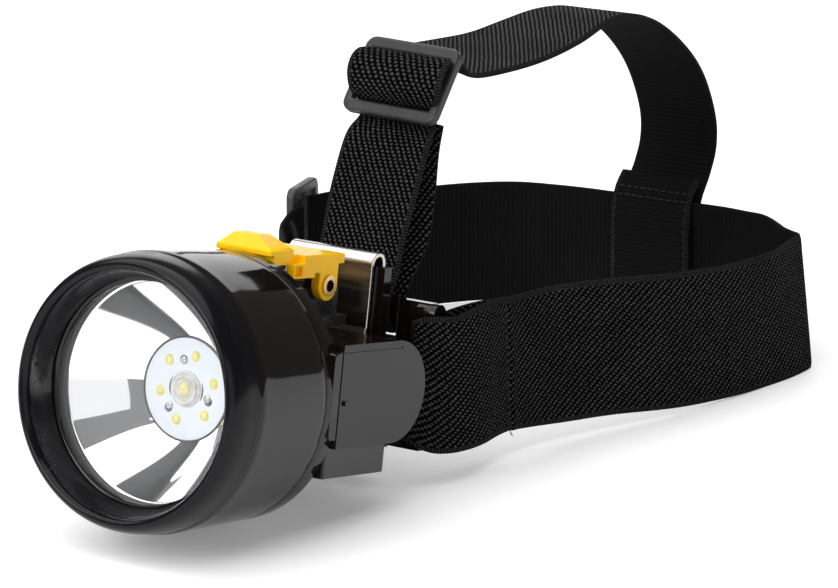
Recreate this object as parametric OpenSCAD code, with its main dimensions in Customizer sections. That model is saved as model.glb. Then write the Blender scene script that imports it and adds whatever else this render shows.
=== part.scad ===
// Miner's cap lamp on its elastic headband, as it stands on a table.
// Millimetres. The table is z = 0. The lamp parts are drawn level in the
// lamp's own frame (lens axis along -Y, origin in the reflector's rim) and
// then leaned back with lamp_tilt. The bands are drawn in the table's frame.

/* [Placement] */
// lean of the lamp and its hanger plate, nose up, degrees
lamp_tilt = 9.6; // [0:0.1:15]
// where the reflector's rim centre stands, mm
lamp_x = 20.3; // [0:0.1:60]
lamp_y = -120.8; // [-160:0.1:-80]
lamp_z = 37.4; // [34:0.1:45]

/* [Lamp head] */
// outer radius at the shoulder, mm
head_r = 33.3; // [30:0.1:36]
// bore radius of the front shell, mm
shell_bore_r = 29.5; // [27:0.1:31]
// reflector rim radius, mm
rim_r = 26.7; // [24:0.1:28]
// radius of the opening round the light board, mm
board_open_r = 12.9; // [11:0.1:15]
// depth of the bowl from rim to board, mm
bowl_depth = 11.9; // [9:0.1:15]
// axial place of the parting line, mm behind the rim
part_y = 23.4; // [20:0.1:26]
// rear face of the flange, mm behind the rim
flange_y = 29; // [27:0.1:32]

/* [Battery tube] */
// outer radius of the tube's round back, mm
tube_r = 12.6; // [11:0.1:14]
// half width across the end caps, mm
tube_half = 33; // [30:0.5:36]
// tube axis behind the rim and above the lens axis, mm
tube_y = 52.4; // [48:0.1:56]
tube_z = 2; // [-2:0.1:4]
// cell radius and length, mm
cell_r = 9.1; // [8:0.1:10]
cell_len = 49.8; // [40:0.1:60]

/* [Lever and clip] */
// pivot axis behind the rim and above the lens axis, mm
pivot_y = 52.3; // [50:0.1:55]
pivot_z = 24.8; // [22:0.1:27]
// hollow rivet outer and hole radius, mm
rivet_r = 2.0; // [1.5:0.05:2.5]
rivet_hole_r = 1.5; // [1:0.05:2]
// helmet clip half width, sheet and inside gap, mm
clip_half = 13; // [10:0.5:16]
clip_t = 1.2; // [0.8:0.1:1.6]
clip_gap = 3.7; // [3:0.1:5]
// outside face of the clip's front leg, mm behind the rim
clip_y = 66.4; // [65:0.1:70]
// top of the clip above the lens axis, mm
clip_top = 32.7; // [28:0.1:36]

/* [Headband] */
// width and thickness of the head strap, mm
band_w = 36.5; // [25:0.5:40]
band_t = 1.5; // [1:0.1:2]
// width and thickness of the top strap, mm
top_w = 25; // [20:1:30]
top_t = 1.4; // [1:0.1:2]

/* [Hidden] */

front_shell();
lens_retainer();
lens();
lens_gasket();
reflector();
led_board();
main_led();
aux_leds();
board_screws();
heat_sink();
driver_board();
lead_wires();
rear_housing();
battery_cell();
contact_plates();
contact_springs();
end_cap_right();
end_cap_left();
charge_base();
base_screws();
lever_bracket();
tact_switch();
switch_plunger();
switch_lever();
pivot_rivet();
helmet_clip();
clip_rivets();
hanger_plate();
head_strap();
side_buckle();
top_strap();
top_buckle();

// ---- frames and helpers ----

module lampf() translate([lamp_x, lamp_y, lamp_z]) rotate([-lamp_tilt, 0, 0]) children();
module bandf() translate([lamp_x, lamp_y, lamp_z]) children();
// turned part about the lens axis, profile as [radius, y]
module turned(p, fn = 72) rotate([-90, 0, 0]) rotate_extrude($fn = fn) polygon(p);
// cylinder along +Y from y0, along +X from x0
module ycyl(r, y0, len, fn = 48) translate([0, y0, 0]) rotate([-90, 0, 0]) cylinder(r = r, h = len, $fn = fn);
module xcyl(r, x0, len, fn = 48) translate([x0, 0, 0]) rotate([0, 90, 0]) cylinder(r = r, h = len, $fn = fn);
module box(a, b) translate(a) cube(b - a);

// smooth route through points [x, y, z, wx, wy, wz]
function cr(a, b, c, d, t) = 0.5 * (2 * b + (c - a) * t + (2 * a - 5 * b + 4 * c - d) * t * t + (3 * b - a - 3 * c + d) * t * t * t);
function smooth(p, n) = [for (i = [0 : len(p) - 2]) for (k = [0 : n - 1]) cr(p[max(i - 1, 0)], p[i], p[i + 1], p[min(i + 2, len(p) - 1)], k / n), p[len(p) - 1]];
function pos(q) = [q[0], q[1], q[2]];
function dirw(q) = [q[3], q[4], q[5]] / norm([q[3], q[4], q[5]]);
function tang(s, i) = let (a = pos(s[max(i - 1, 0)]), b = pos(s[min(i + 1, len(s) - 1)])) (b - a) / norm(b - a);
function norml(s, i) = let (c = cross(tang(s, i), dirw(s[i]))) c / norm(c);
module ribbon(p, w, t, n = 3) {
  s = smooth(p, n);
  m = len(s);
  pts = [for (i = [0 : m - 1]) let (c = pos(s[i]), u = [s[i][3], s[i][4], s[i][5]] * w / 2, v = norml(s, i) * t / 2) each [c - u - v, c + u - v, c + u + v, c - u + v]];
  quads = [for (i = [0 : m - 2]) for (k = [0 : 3]) [4 * i + k, 4 * i + (k + 1) % 4, 4 * (i + 1) + (k + 1) % 4, 4 * (i + 1) + k]];
  tris = [for (q = quads) each [[q[0], q[1], q[2]], [q[0], q[2], q[3]]]];
  polyhedron(points = pts, faces = concat(tris, [[3, 2, 1], [3, 1, 0]], [[4 * m - 4, 4 * m - 3, 4 * m - 2], [4 * m - 4, 4 * m - 2, 4 * m - 1]]), convexity = 8);
}

// ---- lamp head ----

module front_shell() color([0.04, 0.04, 0.045]) lampf() turned([
  [shell_bore_r, part_y], [32.7, part_y], [32.95, part_y - 0.4], [33.15, 14], [head_r + 0.2, 8], [head_r + 0.3, 2], [head_r + 0.2, -3],
  [33.4, -6], [33.2, -8.4], [32.8, -10.4], [32.2, -12], [31.5, -12.9], [30.7, -13.2], [30, -12.9], [29.4, -12.1],
  [28.9, -10.4], [28.2, -7.6], [27.5, -5.6], [27.4, -5.1], [27.6, -4.7], [shell_bore_r, -4.7]]);

module lens_retainer() color([0.05, 0.05, 0.055]) lampf() turned([
  [26.6, -3.3], [26.6, -3.9], [26.8, -4.4], [27.2, -4.6], [29.2, -4.6], [29.2, -3.3]], 64);

module lens() color([0.9, 0.94, 0.98, 0.35]) lampf() ycyl(29.1, -3.2, 2, 72);

module lens_gasket() color([0.08, 0.08, 0.08]) lampf() turned([[27.2, -1.1], [29.1, -1.1], [29.1, -0.2], [27.2, -0.2]], 64);

function bowl(y) = sqrt(rim_r * rim_r - (rim_r * rim_r - board_open_r * board_open_r) * y / bowl_depth);
module reflector() color([0.86, 0.87, 0.9]) lampf() turned(concat(
  [[29.1, -0.1], [29.1, 1.2], [27.9, 1.2]],
  [for (k = [1 : 8]) [bowl(bowl_depth * k / 8) + 1.1, bowl_depth * k / 8 + (k == 8 ? 0 : 0.6)]],
  [for (k = [8 : -1 : 0]) [bowl(bowl_depth * k / 8), bowl_depth * k / 8]], [[rim_r, -0.1]]));

module led_board() color([0.82, 0.87, 0.93]) lampf() difference() {
  ycyl(14.4, 12, 1.6, 64);
  for (a = [102, -17, -133]) rotate([0, -a, 0]) translate([7.1, 0, 0]) ycyl(1.15, 11, 4, 24);
}
module main_led() color([0.93, 0.93, 0.9]) lampf() {
  ycyl(4.4, 11.1, 0.85, 40);
  translate([0, 11.1, 0]) rotate([90, 0, 0]) rotate_extrude($fn = 40) polygon([[0, 0], [3, 0], [2.8, 1], [2.2, 1.9], [1.2, 2.5], [0, 2.7]]);
}
module aux_leds() color([0.95, 0.9, 0.35]) lampf()
  for (k = [0 : 5]) rotate([0, -(13.5 + 60 * k), 0]) translate([8.9, 0, 0]) box([-1.4, 11.15, -1.4], [1.4, 11.95, 1.4]);
module board_screws() color([0.75, 0.75, 0.77]) lampf()
  for (a = [102, -17, -133]) rotate([0, -a, 0]) translate([7.1, 0, 0]) {
    ycyl(1.0, 11.9, 4.5, 24);
    difference() { ycyl(1.7, 11.2, 0.75, 32); box([-1.2, 11, -0.2], [1.2, 11.5, 0.2]); box([-0.2, 11, -1.2], [0.2, 11.5, 1.2]); }
  }
module heat_sink() color([0.7, 0.71, 0.73]) lampf() difference() {
  union() { ycyl(14.4, 13.7, 3.6, 64); ycyl(26.8, 17.2, 1.5, 64); ycyl(8, 18.6, 2.8, 48); for (k = [0 : 5]) rotate([0, 30 + 60 * k, 0]) box([8.5, 18.6, -0.6], [20, 20.8, 0.6]); }
  for (s = [-1, 1]) translate([12 * s, 0, 0]) ycyl(1.2, 13, 8, 24);
  for (a = [102, -17, -133]) rotate([0, -a, 0]) translate([7.1, 0, 0]) ycyl(1.1, 13, 5, 24);
}
module driver_board() color([0.1, 0.32, 0.16]) lampf() {
  difference() { ycyl(19, 22.2, 1.6, 64); for (s = [-1, 1]) translate([12 * s, 0, 0]) ycyl(1.5, 21, 4, 24); }
  box([-4, 23.75, 2], [4, 25.6, 8]);
  box([5, 23.75, -9], [10, 25.2, -5]);
  translate([-9, 0, -6]) ycyl(2.5, 23.75, 2, 32);
}
module lead_wires() color([0.7, 0.1, 0.08]) lampf() for (s = [-1, 1]) translate([12 * s, 0, 0]) { ycyl(0.9, 14.2, 12.2, 24); }

// ---- battery tube and base ----

module tube2d(r, front) { translate([tube_y, tube_z]) circle(r = r, $fn = 64); translate([front, tube_z - r]) square([tube_y - front, 2 * r]); }
// slab of a (y, z) outline from x0 to x1
module xslab(x0, x1) translate([x0, 0, 0]) rotate([90, 0, 90]) linear_extrude(height = x1 - x0) children();

module rear_housing() color([0.05, 0.05, 0.055]) lampf() difference() {
  union() {
    turned([[27, 14], [29.2, 14], [29.2, part_y + 0.2], [32.6, part_y + 0.2], [32.9, part_y + 0.6], [33, 26], [32.9, flange_y - 0.3], [32.5, flange_y], [0, flange_y], [0, 26.8], [27, 26.8]]);
    xslab(-tube_half + 2.2, tube_half - 2.2) tube2d(tube_r, flange_y - 1);
    // posts that carry the driver board
    for (k = [0 : 2]) rotate([0, 90 + 120 * k, 0]) translate([15, 0, 0]) ycyl(2, 23.9, 3.2, 24);
    // ribs under the flange's top, beside the bracket
    for (s = [-1, 1]) box([s * 15 - 1, flange_y - 0.5, tube_z + tube_r - 1], [s * 15 + 1, 34, 22]);
  }
  translate([0, tube_y, tube_z]) xcyl(cell_r + 0.4, -tube_half + 2.2, 2 * tube_half - 4.4, 64);
  for (s = [-1, 1]) translate([12 * s, 0, 0]) ycyl(1.4, 26, 20, 24);
  for (s = [-1, 1]) translate([0, tube_y, tube_z]) xcyl(10.6, s > 0 ? tube_half - 4.2 : -tube_half + 2.1, 2.1, 64);
  // pilot holes for the clip rivets and the base screws
  for (s = [-1, 1]) translate([8 * s, 0, 2]) ycyl(1.1, 60, 8, 24);
  for (s = [-1, 1]) translate([22 * s, 40, 0]) translate([0, 0, -14]) cylinder(r = 1.1, h = 6.6, $fn = 24);
}
module battery_cell() color([0.15, 0.35, 0.6]) lampf() translate([0, tube_y, tube_z]) { xcyl(cell_r, -cell_len / 2, cell_len, 64); xcyl(3, cell_len / 2 - 0.1, 1.1, 32); }
module contact_plates() color([0.78, 0.76, 0.7]) lampf() for (s = [-1, 1]) translate([0, tube_y, tube_z]) xcyl(8, s > 0 ? tube_half - 2.9 : -tube_half + 2.3, 0.6, 48);
module contact_springs() color([0.8, 0.78, 0.7]) lampf() translate([0, tube_y, tube_z]) {
  translate([-tube_half + 2.95, 0, 0]) rotate([0, 90, 0]) rotate_extrude($fn = 40) polygon([[6.6, 0], [7.2, 0], [6.9, 1.2], [6.2, 1.7], [6.0, 2.6], [5.2, 3.2], [4.9, 4.2], [4.2, 4.9], [3.6, 4.9], [4.3, 3.9], [4.6, 2.9], [5.4, 2.3], [5.6, 1.4], [6.3, 0.9]]);
  xcyl(2.4, cell_len / 2 + 1.05, tube_half - 3 - cell_len / 2 - 1.1, 32);
}
module end_cap(s) difference() {
  union() {
    xslab(s > 0 ? tube_half - 2.1 : -tube_half, s > 0 ? tube_half : -tube_half + 2.1) tube2d(tube_r, flange_y + 0.1);
    // small catch nib beside the flange
    xslab(s > 0 ? tube_half - 0.5 : -tube_half - 0.6, s > 0 ? tube_half + 0.6 : -tube_half + 0.5) translate([flange_y + 1.6, 0.2]) hull() { square([2.6, 0.5]); translate([0, -0.3]) square([1.1, 1.1]); }
  }
  // groove under the top edge
  xslab(s > 0 ? tube_half - 0.25 : -tube_half - 0.1, s > 0 ? tube_half + 0.1 : -tube_half + 0.25) translate([flange_y, tube_z + tube_r - 1.9]) square([tube_y - flange_y + 1.5, 0.4]);
}
module end_cap_right() color([0.06, 0.06, 0.065]) lampf() end_cap(1);
module end_cap_left() color([0.06, 0.06, 0.065]) lampf() end_cap(-1);

module charge_base() color([0.05, 0.05, 0.055]) lampf() difference() {
  box([-30, 29.1, -18.4], [30, 54.6, tube_z - tube_r - 0.05]);
  box([-27.5, 31.5, -16], [27.5, 52, -9]);
  for (s = [-1, 1]) translate([22 * s, 40, -19]) cylinder(r = 1.3, h = 4, $fn = 24);
  // two charging sockets in the back face
  for (s = [-1, 1]) translate([9 * s, 50, -13.6]) rotate([-90, 0, 0]) cylinder(r = 1.6, h = 6, $fn = 28);
}
module base_screws() color([0.75, 0.75, 0.77]) lampf() for (s = [-1, 1]) translate([22 * s, 40, 0]) {
  translate([0, 0, -18.7]) cylinder(r = 1.0, h = 10.9, $fn = 24);
  difference() { translate([0, 0, -19.4]) cylinder(r = 2, h = 0.95, $fn = 32); box([-1.4, -0.2, -19.5], [1.4, 0.2, -19]); box([-0.2, -1.4, -19.5], [0.2, 1.4, -19]); }
}

// ---- lever, switch and clip ----

module lever_bracket() color([0.05, 0.05, 0.055]) lampf() difference() {
  union() {
    box([-10, 29.1, 14.65], [10, 62, 17.2]);
    for (s = [-1, 1]) box([s > 0 ? 5.3 : -7.5, 42, 17.1], [s > 0 ? 7.5 : -5.3, 61, 24]);
    for (s = [-1, 1]) translate([0, pivot_y, pivot_z]) xcyl(3.6, s > 0 ? 5.3 : -7.5, 2.2, 40);
    for (s = [-1, 1]) box([s > 0 ? 5.3 : -7.5, 48.7, 22], [s > 0 ? 7.5 : -5.3, 55.9, 24.8]);
    box([-5.2, 29.1, 17.1], [5.2, 39, 22.5]);
    // collar that guides the plunger
    translate([0, 34.4, 16.9]) cylinder(r = 3.2, h = 10.5, $fn = 40);
  }
  translate([0, pivot_y, pivot_z]) xcyl(rivet_r + 0.0, -9, 18, 40);
  translate([0, 34.4, 18]) cylinder(r = 2.1, h = 12, $fn = 40);
  box([-3.3, 31.1, 17.3], [3.3, 37.7, 21.3]);
}
module tact_switch() color([0.1, 0.1, 0.1]) lampf() { box([-3, 31.4, 17.4], [3, 37.4, 20.6]); translate([0, 34.4, 20.5]) cylinder(r = 1.6, h = 0.6, $fn = 32); }
module switch_plunger() color([0.12, 0.12, 0.12]) lampf() { translate([0, 34.4, 22.4]) cylinder(r = 2.05, h = 7.4, $fn = 40); }

module switch_lever() color([1.0, 0.74, 0.05]) lampf() difference() {
  union() {
    // push pad with sloping sides
    hull() { box([-8.3, 29.9, 32.4], [8.3, 39.5, 33.6]); box([-5.6, 33.4, 36.2], [1.6, 38.4, 36.8]); box([-7.6, 30.4, 33.4], [7.6, 39, 34.2]); }
    // arm and top plate
    box([-8.3, 31.4, 30.1], [8.3, 43, 32.6]);
    box([-10.3, 41.5, 30.1], [10.3, 58.4, 32.6]);
    for (s = [-1, 1]) {
      box([s > 0 ? 7.8 : -10.3, 37.5, 27], [s > 0 ? 10.3 : -7.8, 46.5, 30.6]);
      box([s > 0 ? 7.8 : -10.3, 48.5, 24.8], [s > 0 ? 10.3 : -7.8, 56.1, 30.6]);
      box([s > 0 ? 7.8 : -10.3, 46, 28], [s > 0 ? 10.3 : -7.8, 49, 30.6]);
      translate([0, pivot_y, pivot_z]) xcyl(3.8, s > 0 ? 7.8 : -10.3, 2.5, 48);
    }
  }
  translate([0, pivot_y, pivot_z]) xcyl(rivet_r + 0.08, -11, 22, 40);
  for (s = [-1, 1]) box([s > 0 ? 9.2 : -10.4, 38, 27.6], [s > 0 ? 10.4 : -9.2, 41, 29.9]);
}
module pivot_rivet() color([0.8, 0.62, 0.25]) lampf() difference() {
  translate([0, pivot_y, pivot_z]) { xcyl(rivet_r, -10.6, 21.2, 40); for (s = [-1, 1]) xcyl(2.6, s > 0 ? 10.4 : -10.9, 0.5, 40); }
  translate([0, pivot_y, pivot_z]) xcyl(rivet_hole_r, -12, 24, 40);
}

// outline of the bent sheet, as (y, z)
module clip2d() {
  cy = clip_y + clip_t + clip_gap / 2;
  ro = clip_gap / 2 + clip_t;
  ri = clip_gap / 2;
  cz = clip_top - ro;
  polygon(concat(
    [[65.15, -6], [65.15, 10.5], [clip_y, 14]],
    [for (k = [0 : 20]) [cy - ro * cos(9 * k), cz + ro * sin(9 * k)]],
    [[clip_y + 2 * clip_t + clip_gap, -1], [clip_y + clip_t + clip_gap, -1]],
    [for (k = [0 : 20]) [cy + ri * cos(9 * k), cz + ri * sin(9 * k)]],
    [[clip_y + clip_t, 13.7], [65.15 + clip_t, 10.2], [65.15 + clip_t, -6]]));
}
module helmet_clip() color([0.75, 0.75, 0.76]) lampf() difference() {
  xslab(-clip_half, clip_half) clip2d();
  for (s = [-1, 1]) translate([8 * s, 0, 2]) ycyl(1.1, 60, 8, 24);
}
module clip_rivets() color([0.72, 0.72, 0.74]) lampf() for (s = [-1, 1]) translate([8 * s, 0, 2]) { ycyl(1.0, 62.2, 4.2, 24); ycyl(1.9, 66.4, 0.7, 32); }

// ---- headband ----

module hanger_plate() color([0.06, 0.06, 0.065]) lampf() {
  // tongue that the clip hangs over
  box([-16, 67.95, -16], [16, 70.95, 29.4]);
  // foot joining the tongue to the frame behind the clip
  box([-16, 70.8, -16], [16, 76.3, -4]);
  difference() {
    box([-25.4, 76.1, -15.6], [25.4, 79.1, 21.4]);
    // slots for the head strap at the sides and the top strap above
    for (s = [-1, 1]) box([s > 0 ? 18.8 : -30, 70, -13], [s > 0 ? 30 : -18.8, 82, 16.2]);
    box([-15.4, 70, 11.6], [15.4, 82, 15.6]);
  }
  for (s = [-1, 1]) translate([23.5 * s, 77.6, -14.2]) cylinder(r = 1.6, h = 31.2, $fn = 32);
  // rounded ends of the upper crossbar
  for (s = [-1, 1]) translate([0, 77.6, 18.6]) xcyl(2.75, s > 0 ? 21.5 : -27.1, 5.6, 32);
}

// head strap: [x, y, z] of its middle, then the direction of its width, whose length is 1 where the strap lies flat
head_route = [
  [27.3, 104.5, -12.6, 0.02, 0.03, 0.93], [25.3, 97.5, -12.2, 0.02, 0.03, 0.93], [23, 88.5, -11.8, 0, 0.05, 0.87], [21.2, 81.5, -11.5, 0, 0.08, 0.78],
  [20.7, 77, -11.3, 0, 0.1, 0.72], [21.4, 74.2, -11.3, 0, 0.1, 0.72], [23.6, 73.0, -11.5, 0, 0.1, 0.74], [25.9, 73.6, -11.8, 0, 0.08, 0.82],
  [28.5, 76.0, -11.9, 0, 0.06, 0.91], [31.0, 80, -11.8, 0, 0.04, 0.95], [32.4, 85.5, -11.4, 0, 0.02, 0.98], [32.2, 92, -11.4, 0, 0, 0.99],
  [30.8, 99.5, -11.8, 0, 0, 0.98], [29.8, 106.5, -12.6, 0, 0, 0.96], [30, 114, -13.3, 0, 0, 0.97], [31.8, 127.3, -14.3, 0, 0, 1],
  [37.6, 145.9, -15.5, 0, 0, 1], [43.5, 164.7, -17.3, 0, 0, 1], [47.8, 187, -18.7, 0, 0, 1], [49.3, 206.4, -19.1, -0.05, 0, 1],
  [48.3, 219.6, -19.1, -0.12, 0, 1], [47.1, 226, -19.1, -0.12, 0, 1], [43.3, 228.6, -19.1, -0.12, 0, 1], [38.6, 231, -19.1, -0.07, 0, 1],
  [33, 235.5, -19, 0, 0, 0.97], [25, 241.5, -19, 0, 0, 0.97], [16.5, 245.4, -18.9, 0, 0, 0.92], [7, 246.2, -18.9, 0, 0, 0.92],
  [-13, 245.4, -18.9, 0, 0, 0.92], [-32.7, 244.2, -18.9, 0, 0, 0.92], [-44.8, 242.5, -18.9, 0, 0, 0.92], [-55.6, 239, -19.4, 0, 0, 0.95],
  [-64.4, 232, -19.4, 0, 0, 0.95], [-73, 220, -19.4, 0, 0, 0.95], [-80.6, 206.5, -19.4, 0, 0, 0.95], [-85.6, 195, -17.8, 0, 0, 0.97],
  [-87.1, 186.8, -16.6, 0, 0, 0.93], [-86.8, 184.3, -16.4, 0, 0, 0.93], [-88.1, 181.8, -16.4, 0, 0, 0.93], [-89.5, 179.7, -16.4, 0, 0, 0.93], [-89.6, 177.2, -16.4, 0, 0, 0.93],
  [-88.3, 175.2, -16.4, 0, 0, 0.93], [-85.9, 174.2, -16.4, 0, 0, 0.93], [-83.5, 172.8, -16.4, 0, 0, 0.93], [-82.4, 170.5, -16.4, 0, 0, 0.93], [-81.4, 165.5, -16.9, 0, 0, 0.95],
  [-78.6, 158.5, -18.4, 0, 0, 1], [-74.4, 151.2, -18.4, 0, 0, 1], [-67.5, 142, -18.4, 0, 0.03, 1], [-48.5, 116, -17.2, 0, 0.08, 1],
  [-32.2, 93, -15.6, 0, 0.1, 0.92], [-26.8, 81.5, -13.2, 0, 0.1, 0.8], [-26.3, 77, -11.8, 0, 0.1, 0.74], [-25.6, 74.1, -11.4, 0, 0.1, 0.72],
  [-23.5, 73.0, -11.3, 0, 0.1, 0.72], [-21.4, 74.1, -11.3, 0, 0.1, 0.72], [-20.7, 76.6, -11.4, 0, 0.1, 0.73], [-21.9, 81.5, -12.4, 0, 0.1, 0.8],
  [-30.2, 94.8, -14.4, 0, 0.12, 0.88], [-46.6, 117.6, -15.4, 0, 0.15, 0.9], [-65.4, 143.4, -17, 0, 0.12, 0.96], [-72.4, 153, -17, 0, 0, 1]];
module head_strap() color([0.07, 0.07, 0.08]) bandf() ribbon(head_route, band_w, band_t, 2);

module slide_frame(w, l, t, endbar, midbar, sidebar = 4) {
  difference() {
    hull() for (a = [-1, 1]) for (b = [-1, 1]) translate([a * (w / 2 - 3), b * (l / 2 - 3), -t / 2]) cylinder(r = 3, h = t, $fn = 24);
    for (b = [-1, 1]) translate([0, b * (midbar / 2 + (l / 2 - endbar - midbar / 2) / 2), 0]) cube([w - 2 * sidebar, l / 2 - endbar - midbar / 2, t + 2], center = true);
  }
}
module side_buckle() color([0.16, 0.16, 0.17]) bandf() translate([-87, 178, -16]) rotate([0, 0, 16]) rotate([0, 90, 0]) slide_frame(42.6, 20, 2.6, 3.4, 2.8, 2.8);

module top_buckle() color([0.16, 0.16, 0.17]) bandf() translate([-3.4, 107.2, 56.4]) rotate([0, 0, -6]) rotate([56, 0, 0]) slide_frame(30.8, 21, 2.6, 3.4, 2.4, 2.4);

top_route = [
  [-2.6, 106.2, 46.6, 1, -0.02, 0], [-2, 101.4, 40.4, 1, 0.14, 0], [-0.3, 95.2, 29.4, 0.96, 0.36, 0], [1.2, 89.8, 19.4, 0.96, 0.4, 0],
  [1.4, 84.4, 11.4, 0.98, 0.2, 0], [1.4, 82.6, 6, 1, 0, 0], [1.4, 82, 2, 1, 0, 0], [1.4, 79.6, -0.4, 1, 0, 0], [1.4, 77.2, 1.2, 1, 0, 0],
  [1.4, 76.2, 5, 1, 0, 0], [1.4, 77.6, 9.6, 1, 0, 0], [1.4, 82.2, 14.4, 0.98, 0.2, 0], [1.3, 87.6, 20.3, 0.98, 0.4, 0],
  [0.2, 92.9, 30.2, 0.98, 0.36, 0], [-2, 99.6, 42.2, 1, 0.06, 0], [-2.8, 103.9, 46.1, 0.99, -0.1, 0], [-2.9, 104.8, 48.4, 0.99, -0.1, 0],
  [-3.1, 105.1, 50.7, 0.99, -0.1, 0], [-3.2, 104.1, 52.9, 0.99, -0.1, 0], [-3.4, 103, 55.4, 0.99, -0.1, 0], [-3.5, 103.2, 57.9, 0.99, -0.1, 0],
  [-3.5, 104.5, 59.7, 0.99, -0.1, 0], [-3.5, 106.5, 60.6, 0.99, -0.1, 0], [-3.5, 108.9, 60.4, 0.99, -0.1, 0], [-3.5, 111.5, 60.4, 0.99, -0.1, 0],
  [-3.5, 113.6, 61.5, 0.99, -0.1, 0], [-3.6, 115.4, 62.6, 0.99, -0.1, -0.04], [-3.7, 118.6, 60.8, 0.98, -0.1, -0.1],
  [-3.9, 124, 58.6, 0.97, -0.08, -0.2], [-4.9, 140.5, 57.2, 0.97, -0.05, -0.2], [-6.4, 160, 56.3, 0.98, -0.02, -0.17], [-7.8, 178, 57, 0.99, 0, -0.12],
  [-9.2, 197, 58.6, 1, 0, 0], [-10, 212, 56.8, 1, 0, 0], [-11, 226, 51.6, 1, 0, 0], [-12, 240, 43, 1, 0, 0], [-12.6, 250, 33.4, 1, 0, 0],
  [-13, 257, 21, 1, 0, 0], [-13, 257.8, 12, 1, 0, 0], [-13, 254.6, 4.6, 1, 0, 0], [-13, 250.2, -1.4, 1, 0.02, 0], [-13, 248, -8, 1, 0.03, 0],
  [-13, 247.5, -22, 1, 0.04, 0], [-13, 247.4, -33, 1, 0.04, 0], [-13, 246.8, -36, 1, 0.04, 0], [-13, 245.2, -36.7, 1, 0.04, 0],
  [-13, 243.8, -35.8, 1, 0.04, 0], [-13, 243.2, -33, 1, 0.04, 0], [-13, 243.1, -20, 1, 0.04, 0], [-13, 243.2, -8, 1, 0.04, 0],
  [-13, 244.8, -0.8, 1, 0.02, 0], [-13, 248.6, 3.6, 1, 0, 0]];
module top_strap() color([0.07, 0.07, 0.08]) bandf() ribbon(top_route, top_w, top_t, 3);
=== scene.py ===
import bpy, bmesh, math, random
from mathutils import Vector, Matrix


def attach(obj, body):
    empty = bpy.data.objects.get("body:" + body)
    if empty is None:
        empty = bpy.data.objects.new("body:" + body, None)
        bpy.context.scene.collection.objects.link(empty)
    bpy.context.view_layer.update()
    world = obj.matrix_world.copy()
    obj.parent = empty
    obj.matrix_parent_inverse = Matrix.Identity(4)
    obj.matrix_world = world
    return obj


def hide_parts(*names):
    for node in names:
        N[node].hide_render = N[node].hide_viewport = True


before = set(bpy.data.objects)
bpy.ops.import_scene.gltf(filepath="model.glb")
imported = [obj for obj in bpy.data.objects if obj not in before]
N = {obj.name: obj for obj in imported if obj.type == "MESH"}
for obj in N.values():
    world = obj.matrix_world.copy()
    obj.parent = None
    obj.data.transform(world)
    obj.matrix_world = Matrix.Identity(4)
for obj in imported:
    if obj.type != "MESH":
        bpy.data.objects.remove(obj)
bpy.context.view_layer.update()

MM = 0.001
random.seed(11)

# ---------------------------------------------------------------- camera
cam_data = bpy.data.cameras.new("cam")
cam_data.sensor_fit = 'HORIZONTAL'
cam_data.sensor_width = 36.0
cam_data.lens = 190.48
cam_data.clip_start = 0.05
cam = bpy.data.objects.new("cam", cam_data)
bpy.context.scene.collection.objects.link(cam)
cam.location = (0.6472, -0.9166, 0.3238)
cam.rotation_euler = (Vector((0.0962, -0.1208, 0.0726)) - cam.location).to_track_quat('-Z', 'Y').to_euler()
bpy.context.scene.camera = cam

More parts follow.
